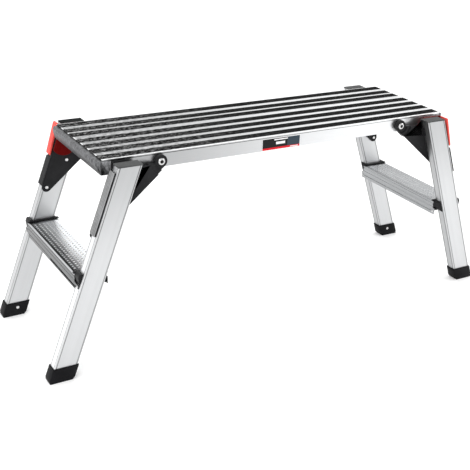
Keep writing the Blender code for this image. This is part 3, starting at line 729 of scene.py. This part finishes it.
latchShape = {"round": 0.0008, "pinRound": 0.0004}
# painted shade: the deeper red for the latch inboard of its leg
latchPaintedShade = {"innerReach": 0.166, "shadeRed": (0.105, 0.0010, 0.0006, 1)}


def paintLatchShade(place, paint):
    # painted shade: the part inboard of its leg is painted a deeper red
    return paint.mix(place.folded().axis("Y") < latchPaintedShade["innerReach"], paint, latchPaintedShade["shadeRed"])


redPlastic = mouldedPlastic("redPlastic", (0.97, 0.100, 0.082), 0.36, 2400, 0.15, None, 0.04, paintLatchShade)
springSteel = platedSteel("springSteel", 0.55, 0.32)


def makeLatches():
    latch = copyPart("latch_back_left", "latchBackLeft")
    roundEdges(latch, latchShape["round"], 3, 30)
    twin = turnedCopy(latch, "latchFrontRight")
    dress(latch, redPlastic, "latch_left", "latch_plastic", "latch_back_left")
    dress(twin, redPlastic, "latch_right", "latch_plastic", "latch_front_right")


def makeLatchPins():
    pin = copyPart("latch_pin_back_left", "latchPinBackLeft")
    roundEdges(pin, latchShape["pinRound"], 2, 30)
    dressPair(pin, boltSteel, "bolt_steel", "latch_pin", "back")


def paintSprings():
    # the frame's own springs are fine enough to be shown as they are
    for name in ("back_left", "front_right"):
        spring = nodes[f"latch_spring_{name}"]
        spring.data.materials.clear()
        spring.data.materials.append(springSteel)


makeLatches()
makeLatchPins()
paintSprings()
print("latches made")


# steps

stepShape = {"noseRound": 0.003, "lineWidth": 0.0012, "lineDepth": 0.0009, "grooveIn": 0.0050,
             "sideLines": (0.0065, 0.0165, 0.0300), "endGap": 0.0004,
             "tabThick": 0.0019, "tabStart": 0.0030,
             "outerTab": {"reach": 0.0205, "z": (0.0082, 0.0180)},
             "innerTab": {"reach": 0.0060, "z": (0.0002, 0.0185)}}
studShape = {"pitch": 0.0112, "size": 0.0056, "height": 0.0013, "sink": 0.0002, "taper": 0.6,
             "margin": 0.010, "endMargin": 0.017}
bracketRoom = {"round": 0.0006, "from": 0.12, "gap": 0.0003, "above": 0.0002, "past": 0.02}
stepRivet = {"radius": 0.0030, "length": 0.0026, "dome": 0.0009, "hole": 0.0012,
             "outer": (0.1840, 0.0125), "inner": (0.1670, 0.0085)}
# painted light: the left step's top is painted darker towards its outer nose and lighter inboard, its flanges
# darker as shade, with a painted highlight along the outer edge and on its studs and painted shade in the top
# groove; the right step takes one flat tone
stepPaintedLight = {"nose": 0.20, "inner": 2.30, "flange": 0.27, "right": 0.83, "rightFlange": 0.82,
            "stud": 1.6, "rightStud": 0.05, "edge": 0.9, "edgeReach": 0.0024, "groove": 0.42,
            "grooveReach": 0.0013, "skin": 0.0035, "fadeFrom": 0.002, "fadeTo": 0.024, "studFoot": 0.0003}


def paintStepLight(place):
    sideways, height = place.axis("X"), place.axis("Z")
    onRight = sideways > 0
    flange = height < stepHigh.z - stepPaintedLight["skin"]
    onTop = height > stepHigh.z - stepPaintedLight["skin"]
    rise = stepPaintedLight["inner"] - stepPaintedLight["nose"]
    fade = sideways.soft(stepLow.x + stepPaintedLight["fadeFrom"], stepHigh.x - stepPaintedLight["fadeTo"])
    # painted shade: the left step darkens towards its outer nose and on its flanges
    left = (fade * rise + stepPaintedLight["nose"]) * (1.0 - flange) + flange * stepPaintedLight["flange"]
    # painted light: the right step in one flat tone
    right = flange * (stepPaintedLight["rightFlange"] - stepPaintedLight["right"]) + stepPaintedLight["right"]
    # painted highlight along the outer edge
    edge = (sideways < stepLow.x + stepPaintedLight["edgeReach"]) * onTop * stepPaintedLight["edge"]
    # painted shade in the top groove
    groove = sideways.near(stepLow.x + stepShape["grooveIn"], stepPaintedLight["grooveReach"])
    groove = groove * onTop * stepPaintedLight["groove"]
    # painted highlight on the studs, mostly on the left step
    stud = (height > stepHigh.z + stepPaintedLight["studFoot"]) * (1.0 - onRight * (1 - stepPaintedLight["rightStud"]))
    return left * (1.0 - onRight) + right * onRight + stud * stepPaintedLight["stud"] + edge - groove


stepMetal = drawnAluminium("stepMetal", "Y", 0.48, 0.38, 0.27, paintStepLight, 0.022)


def makeStep():
    step = copyPart("step_tread_left", "stepTreadLeft")
    stretch = legInner - stepShape["endGap"] - stepHigh.y
    for end in (-1, 1):
        selectFaces(step, lambda centre, normal: normal.y * end > 0.9)
        bpy.ops.transform.translate(value=(0, end * stretch, 0))
        leaveMesh()

    def nose(first, second):
        onTop = min(first.z, second.z) > stepHigh.z - atWithin
        atEdge = min(abs(first.x - stepLow.x), abs(first.x - stepHigh.x)) < atWithin
        return abs(first.y - second.y) > 0.1 and onTop and atEdge
    selectEdges(step, nose)
    bpy.ops.mesh.bevel(offset=stepShape["noseRound"], segments=5, affect="EDGES")
    leaveMesh()
    half, depth = stepShape["lineWidth"] / 2, stepShape["lineDepth"]
    reach = stepHigh.y + past
    for x, out in ((stepLow.x, -1), (stepHigh.x, 1)):
        middle = x - out * stepShape["grooveIn"]
        carve(step, addBlock("line", (middle - half, -reach, stepHigh.z - depth),
                             (middle + half, reach, stepHigh.z + past)))
        low, high = span(1, x - out * depth, x + out * past)
        for drop in stepShape["sideLines"]:
            z = stepHigh.z - drop
            carve(step, addBlock("line", (low, -reach, z - half), (high, reach, z + half)))
    for end in (-1, 1):
        for x, inward, tabName in ((stepLow.x, 1, "outerTab"), (stepHigh.x, -1, "innerTab")):
            tab = stepShape[tabName]
            near, far = span(end, legInner - stepShape["tabStart"], legInner + tab["reach"])
            left, right = span(1, x, x + inward * stepShape["tabThick"])
            start, stop = tab["z"]
            carve(step, addBlock("tab", (left, near, stepLow.z + start), (right, far, stepLow.z + stop)),
                  "UNION")
    roundEdges(step, fineRound, 1, 50)
    pick(step, makeStuds())
    bpy.ops.object.join()
    twin = turnedCopy(step, "stepTreadRight")
    dress(step, stepMetal, "left_leg_frame", "step_aluminium", "step_tread_left")
    dress(twin, stepMetal, "right_leg_frame", "step_aluminium", "step_tread_right")


def makeStuds():
    # one stud with sloping sides, repeated along and across the step
    pitch, size = studShape["pitch"], studShape["size"]
    rows = int((stepHigh.x - stepLow.x - 2 * studShape["margin"]) / pitch) + 1
    columns = int((stepHigh.y - stepLow.y - 2 * studShape["endMargin"]) / pitch) + 1
    x = (stepLow.x + stepHigh.x) / 2 - (rows - 1) * pitch / 2
    y = -(columns - 1) * pitch / 2
    stud = addBlock("studs", (x - size / 2, y - size / 2, stepHigh.z - studShape["sink"]),
                    (x + size / 2, y + size / 2, stepHigh.z + studShape["height"]))
    selectFaces(stud, lambda centre, normal: normal.z > 0.9)
    bpy.ops.transform.resize(value=(studShape["taper"], studShape["taper"], 1))
    leaveMesh()
    for count, offset in ((rows, (pitch, 0, 0)), (columns, (0, pitch, 0))):
        array = stud.modifiers.new("rows", "ARRAY")
        array.count = count
        array.use_relative_offset = False
        array.use_constant_offset = True
        array.constant_offset_displace = offset
    applyAll(stud)
    return stud


def makeStepBracket(face, sign):
    # the step runs to the leg, so the bracket shows only above it and beside the leg
    bracket = copyPart(f"step_bracket_{face}_left", f"stepBracket{face.title()}Left")
    near, far = span(sign, bracketRoom["from"], legInner - bracketRoom["gap"])
    carve(bracket, addBlock("room", (stepLow.x - bracketRoom["past"], near, stepLow.z - bracketRoom["past"]),
                            (stepHigh.x + bracketRoom["past"], far, stepHigh.z + bracketRoom["above"])))
    return roundEdges(bracket, bracketRoom["round"], 2, 30)


def makeStepRivet(face, sign, edge, x, out):
    # pop rivet near the end of the step's flange
    sideways, up = stepRivet[edge]
    y, z = sign * sideways, stepLow.z + up
    name = f"stepRivet{face.title()}{edge.title()}Left"
    length, hole = stepRivet["length"], stepRivet["hole"]
    head = addRod(name, (x, y, z), stepRivet["radius"], length, "X", 24)
    selectFaces(head, lambda centre, normal: normal.x * out > 0.9)
    bpy.ops.mesh.bevel(offset=stepRivet["dome"], segments=3, affect="EDGES")
    leaveMesh()
    carve(head, addRod("hole", (x + out * length / 2, y, z), hole, hole, "X", 12))
    roundEdges(head, fineRound / 2, 1, 40)
    twin = turnedCopy(head, name.replace("Left", "Right"))
    dress(head, rivetSteel, "left_leg_frame", "rivet_steel")
    dress(twin, rivetSteel, "right_leg_frame", "rivet_steel")


makeStep()
for face, sign in leftSigns.items():
    dressPair(makeStepBracket(face, sign), blackPlastic, "bracket_plastic", "step_bracket", face)
    makeStepRivet(face, sign, "outer", stepLow.x, -1)
    makeStepRivet(face, sign, "inner", stepHigh.x, 1)
print("steps made")


# label: a plain plate with bars where print would be

labelLook = {"border": 0.0008, "stripe": 0.0062, "split": 0.66, "field": 0.010, "rim": 0.85, "bar": 0.80,
             "slate": (0.035, 0.050, 0.065, 1), "red": (0.60, 0.012, 0.022, 1),
             "bars": ((0.31, 0.67, 0.80, 0.90), (0.36, 0.60, 0.44, 0.66), (0.74, 0.95, 0.07, 0.14))}


def makeLabel():
    label = copyPart("label_plate", "labelPlate")
    low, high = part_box("label_plate")
    material, shader, wire, place = newFinish("labelPrint", 0.36, Specular_IOR_Level=0.12)
    sideways, upright = place.axis("X"), place.axis("Z")

    def inside(left, right, bottom, top):
        return (sideways > left) * (sideways < right) * (upright > bottom) * (upright < top)
    length, height = high.x - low.x, high.z - low.z
    border, split = labelLook["border"], low.x + length * labelLook["split"]
    left, right, bottom, top = low.x + border, high.x - border, low.z + border, high.z - border
    stripeTop = low.z + labelLook["stripe"]
    bars = 0.0
    for start, stop, under, over in labelLook["bars"]:
        bars = bars + inside(low.x + length * start, low.x + length * stop,
                             low.z + height * under, low.z + height * over)
    fine = place.noise(900.0, 3.0)
    paint = wire.mix(inside(left, right, bottom, top), grey(labelLook["rim"]), grey(labelLook["field"]))
    paint = wire.mix(inside(split, right, stripeTop, top), paint, labelLook["slate"])
    paint = wire.mix(inside(left, right, bottom, stripeTop), paint, labelLook["red"])
    paint = wire.mix(bars, paint, grey(labelLook["bar"]))
    plug(shader, wire, paint, 0.32 + fine * 0.12, fine, 0.05, 0.0001)
    dress(label, material, "deck", "label_film", "label_plate")


makeLabel()
print("label made")


# floor, light and camera

studio = {"size": 14, "floor": 0.92, "mottle": 0.02, "glow": 0.16, "front": 0.80, "back": 1.30}
lamps = {"keyLight": {"place": (-2.2, -1.6, 2.4), "aim": (0, 0, 0.3), "size": (1.8, 1.4), "power": 34},
         "rightLight": {"place": (3.0, -1.8, 1.6), "aim": (0.6, -0.4, 0.0), "size": (2.0, 1.4), "power": 30},
         "topLight": {"place": (0.2, 0.8, 3.0), "aim": (0, 0, 0.5), "size": (2.5, 2.0), "power": 14}}
cameraSetting = {"place": (-1.2497, -2.0338, 1.2322), "yaw": 0.5628, "down": 0.4126, "roll": 0.0493,
                 "lens": 71.57, "shiftX": -0.0594, "shiftY": -0.0020}


def makeFloor():
    bpy.ops.object.select_all(action="DESELECT")
    bpy.ops.mesh.primitive_plane_add(size=studio["size"], location=(0, 0, 0))
    floor = nameNew("studioFloor")
    material, shader, wire, place = newFinish("paleFloor", 0.75, Emission_Color=(1, 1, 1, 1),
                                              Emission_Strength=studio["glow"])
    cloud = place.noise(2.0, 3.0)
    plug(shader, wire, wire.mix(cloud, grey(studio["floor"]), grey(studio["floor"] + studio["mottle"])))
    floor.data.materials.append(material)


def addSoftbox(name, place, aim, size, power):
    bpy.ops.object.light_add(type="AREA", location=place)
    lamp = bpy.context.active_object
    lamp.name = name
    lamp.data.shape = "RECTANGLE"
    lamp.data.size, lamp.data.size_y = size
    lamp.data.energy = power
    lamp.rotation_euler = (Vector(aim) - Vector(place)).to_track_quat("-Z", "Y").to_euler()


def makeBackdrop():
    # white all round, brighter behind the platform than in front of it
    world = bpy.data.worlds.new("studio")
    bpy.context.scene.world = world
    world.use_nodes = True
    backdrop = world.node_tree.nodes["Background"]
    heading = Wire(world.node_tree).add("ShaderNodeTexCoord", {}, {}, "Generated")
    strength = heading.axis("Y").soft(-0.6, 0.7) * (studio["back"] - studio["front"]) + studio["front"]
    world.node_tree.links.new(strength.socket, backdrop.inputs["Strength"])
    backdrop.inputs["Color"].default_value = (1, 1, 1, 1)
    bpy.context.scene.view_settings.view_transform = "Standard"


def makeCamera():
    yaw, down, roll = cameraSetting["yaw"], cameraSetting["down"], cameraSetting["roll"]
    ahead = Vector((math.sin(yaw) * math.cos(down), math.cos(yaw) * math.cos(down), -math.sin(down)))
    right = Vector((math.cos(yaw), -math.sin(yaw), 0))
    up = right.cross(ahead)
    rolledRight = right * math.cos(roll) + up * math.sin(roll)
    rolledUp = up * math.cos(roll) - right * math.sin(roll)
    bpy.ops.object.camera_add(location=cameraSetting["place"])
    camera = bpy.context.active_object
    camera.name = "productCamera"
    camera.rotation_euler = Matrix((rolledRight, rolledUp, -ahead)).transposed().to_euler()
    camera.data.lens = cameraSetting["lens"]
    camera.data.shift_x = cameraSetting["shiftX"]
    camera.data.shift_y = cameraSetting["shiftY"]
    bpy.context.scene.camera = camera


makeFloor()
makeBackdrop()
for name, setting in lamps.items():
    addSoftbox(name, **setting)
makeCamera()
print("studio set")
